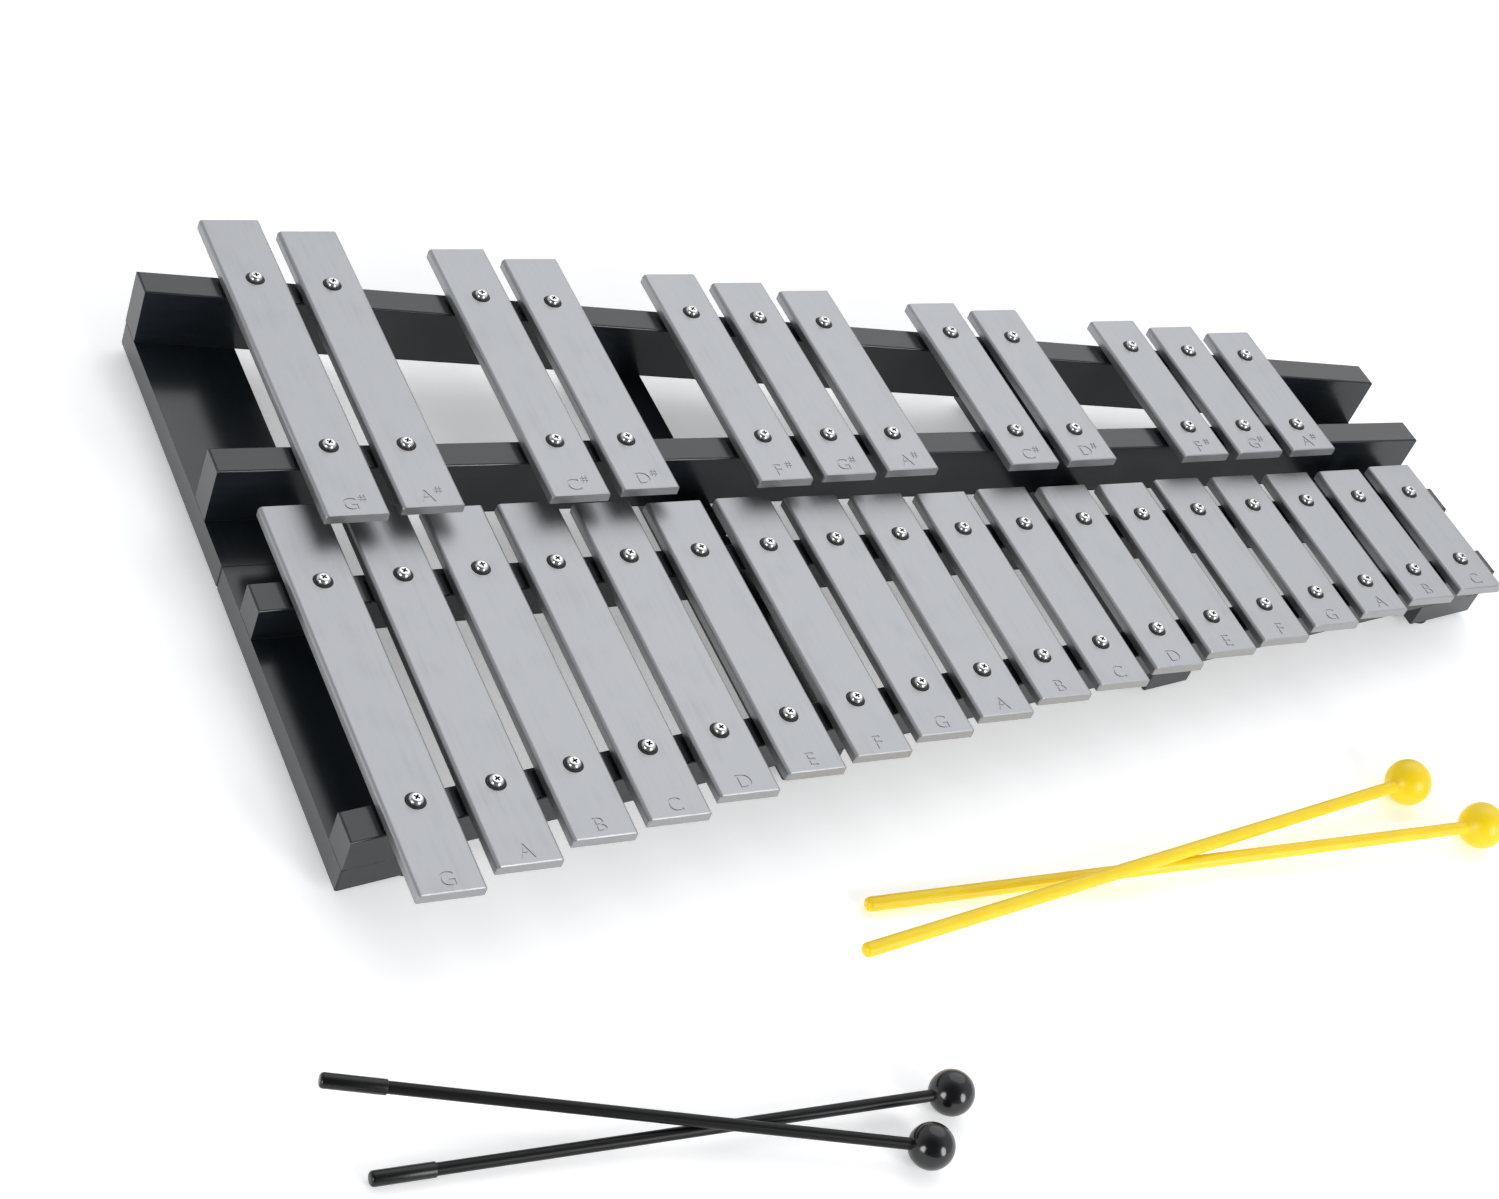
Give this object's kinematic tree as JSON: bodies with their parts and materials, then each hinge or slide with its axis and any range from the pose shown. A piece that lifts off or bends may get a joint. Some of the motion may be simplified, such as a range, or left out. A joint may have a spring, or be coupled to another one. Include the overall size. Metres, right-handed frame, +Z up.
{
  "type": "glockenspiel",
  "caption": "Folding tuned-bar percussion instrument: flat metal bars screwed through rubber grommets to a two-part painted wood frame, with crossed ball-headed mallets in front.",
  "frame": {"origin": "on the table under the middle of the whole laid-out set: instrument and mallets", "axes": "+X from the low bars to the high bars along the fold line, +Y from the naturals to the sharps, +Z up"},
  "size_m": [0.6068, 0.4518, 0.0471],
  "materials": {
    "bars": "fine bead-blasted, clear anodised",
    "bar_screws": "bright nickel plated",
    "zinc": "zinc plated",
    "grommets": "matte black rubber",
    "feet": "matte black rubber",
    "frame_wood": "satin black paint on hardwood",
    "yellow_mallets": "satin moulded plastic",
    "black_rods": "satin black fibre rod",
    "black_grips": "smooth black rubber",
    "black_heads": "polished black"
  },
  "bodies": {
    "naturals_half": {"bar_a5": "bars", "bar_a6": "bars", "bar_a7": "bars", "bar_b5": "bars", "bar_b6": "bars", "bar_b7": "bars", "bar_c6": "bars", "bar_c7": "bars", "bar_c8": "bars", "bar_d6": "bars", "bar_d7": "bars", "bar_e6": "bars", "bar_e7": "bars", "bar_f6": "bars", "bar_f7": "bars", "bar_g5": "bars", "bar_g6": "bars", "bar_g7": "bars", "hinge_pins": "zinc", "naturals_bar_screws": "bar_screws", "naturals_battens": "frame_wood", "naturals_feet": "feet", "naturals_grommets": "grommets", "naturals_high_plank": "frame_wood", "naturals_hinge_leaves": "zinc", "naturals_inner_rail": "frame_wood", "naturals_low_plank": "frame_wood", "naturals_outer_rail": "frame_wood", "naturals_wood_screws": "zinc"},
    "sharps_half": {"bar_a_sharp5": "bars", "bar_a_sharp6": "bars", "bar_a_sharp7": "bars", "bar_c_sharp6": "bars", "bar_c_sharp7": "bars", "bar_d_sharp6": "bars", "bar_d_sharp7": "bars", "bar_f_sharp6": "bars", "bar_f_sharp7": "bars", "bar_g_sharp5": "bars", "bar_g_sharp6": "bars", "bar_g_sharp7": "bars", "sharps_bar_screws": "bar_screws", "sharps_battens": "frame_wood", "sharps_feet": "feet", "sharps_grommets": "grommets", "sharps_high_plank": "frame_wood", "sharps_hinge_leaves": "zinc", "sharps_inner_rail": "frame_wood", "sharps_low_plank": "frame_wood", "sharps_outer_rail": "frame_wood", "sharps_wood_screws": "zinc"},
    "black_lower_mallet": {"black_lower_mallet_grip": "black_grips", "black_lower_mallet_head": "black_heads", "black_lower_mallet_rod": "black_rods"},
    "black_upper_mallet": {"black_upper_mallet_grip": "black_grips", "black_upper_mallet_head": "black_heads", "black_upper_mallet_rod": "black_rods"},
    "yellow_lower_mallet": {"yellow_lower_mallet": "yellow_mallets"},
    "yellow_upper_mallet": {"yellow_upper_mallet": "yellow_mallets"}
  },
  "joints": [
    {"name": "fold_hinge", "type": "hinge", "parent": "naturals_half", "child": "sharps_half", "pos_m": [0, 0.06466, 0.0016], "axis": [-1, 0, 0], "range_deg": [0, 180]},
    {"name": "black_lower_lift", "type": "slide", "parent": "naturals_half", "child": "black_lower_mallet", "axis": [0, 0, 1], "range_m": [0, 0.06]},
    {"name": "black_upper_lift", "type": "slide", "parent": "black_lower_mallet", "child": "black_upper_mallet", "axis": [0, 0, 1], "range_m": [0, 0.06]},
    {"name": "yellow_lower_lift", "type": "slide", "parent": "naturals_half", "child": "yellow_lower_mallet", "axis": [0, 0, 1], "range_m": [0, 0.06]},
    {"name": "yellow_upper_lift", "type": "slide", "parent": "yellow_lower_mallet", "child": "yellow_upper_mallet", "axis": [0, 0, 1], "range_m": [0, 0.06]}
  ]
}
